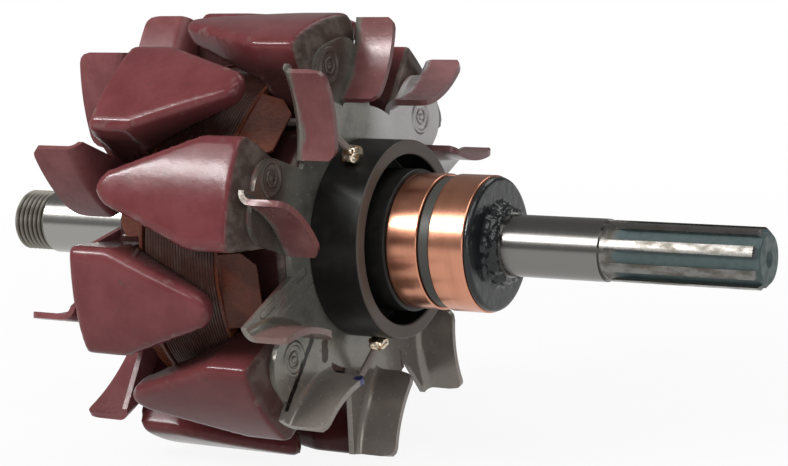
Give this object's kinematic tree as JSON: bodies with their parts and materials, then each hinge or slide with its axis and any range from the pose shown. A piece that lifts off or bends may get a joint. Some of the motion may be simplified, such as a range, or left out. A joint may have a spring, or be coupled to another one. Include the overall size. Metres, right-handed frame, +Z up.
{
  "type": "alternator rotor",
  "caption": "Claw-pole alternator rotor: interleaved painted claws round a field coil, pressed fans at both ends, copper slip rings, a threaded drive end and a splined rear shaft.",
  "frame": {"origin": "on the shaft axis, in the middle of the drive-end bearing's place on its seat", "axes": "+X along the shaft from the threaded drive end to the splined rear end, +Z up"},
  "size_m": [0.2132, 0.112, 0.112],
  "materials": {
    "shaft": "ground bright steel, oiled dark in the thread and the spline grooves",
    "pole_paint": "semi-gloss dark red oxide paint, rubbed bright at the edges",
    "rear_fan": "pressed sheet steel, bare and stained, with red overspray on the blades",
    "drive_fan": "pressed sheet steel, painted dark red",
    "insulation": "varnished red-brown insulation",
    "winding": "dark varnished enamelled copper wire",
    "moulding": "black moulded resin",
    "slip_ring": "turned and polished copper",
    "end_cap": "black potting resin",
    "terminal": "tinned copper with solder",
    "lead": "varnished copper wire"
  },
  "bodies": {
    "root": {"shaft": "shaft", "drive_end_pole_wheel": "pole_paint", "slip_ring_end_pole_wheel": "pole_paint", "bobbin_sleeve": "insulation", "field_winding": "winding", "drive_end_insulation_washer": "insulation", "slip_ring_end_insulation_washer": "insulation", "drive_end_fan": "drive_fan", "slip_ring_end_fan": "rear_fan", "slip_ring_carrier": "moulding", "inner_slip_ring": "slip_ring", "outer_slip_ring": "slip_ring", "slip_ring_end_cap": "end_cap", "positive_terminal": "terminal", "negative_terminal": "terminal", "positive_lead": "lead", "negative_lead": "lead"}
  },
  "joints": []
}
